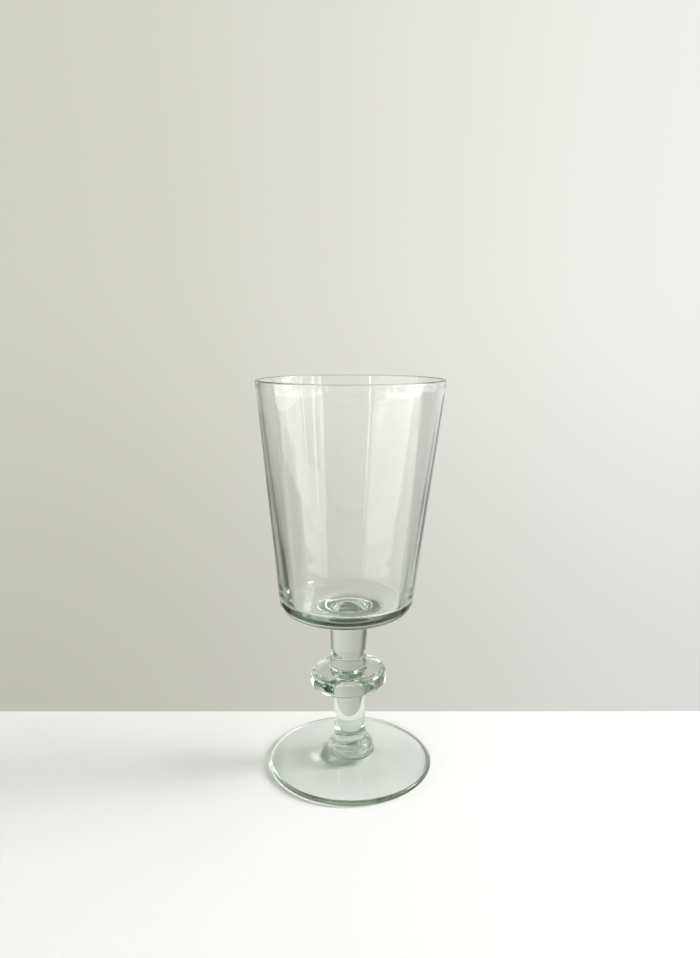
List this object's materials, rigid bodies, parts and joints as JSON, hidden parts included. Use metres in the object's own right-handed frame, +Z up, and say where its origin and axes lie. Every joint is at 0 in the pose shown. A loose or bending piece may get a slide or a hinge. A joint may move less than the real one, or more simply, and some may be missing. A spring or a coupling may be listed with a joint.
{
  "type": "water goblet",
  "caption": "Hand-made stemmed water goblet in pale green glass, with a deep tapered bowl, a disc knop on the stem and a round foot.",
  "frame": {"origin": "middle of the foot's flat underside, on the surface the goblet stands on", "axes": "+Z up along the stem, towards the rim; -Y towards the viewer, +X to the viewer's right"},
  "size_m": [0.083, 0.083, 0.18],
  "materials": {
    "glass": "clear polished soda-lime glass with a faint green tint that deepens in the thick base, knop and foot edge"
  },
  "bodies": {
    "root": {"foot": "glass", "foot_collar": "glass", "lower_stem": "glass", "knop": "glass", "knop_neck": "glass", "upper_stem": "glass", "bowl": "glass"}
  },
  "joints": []
}
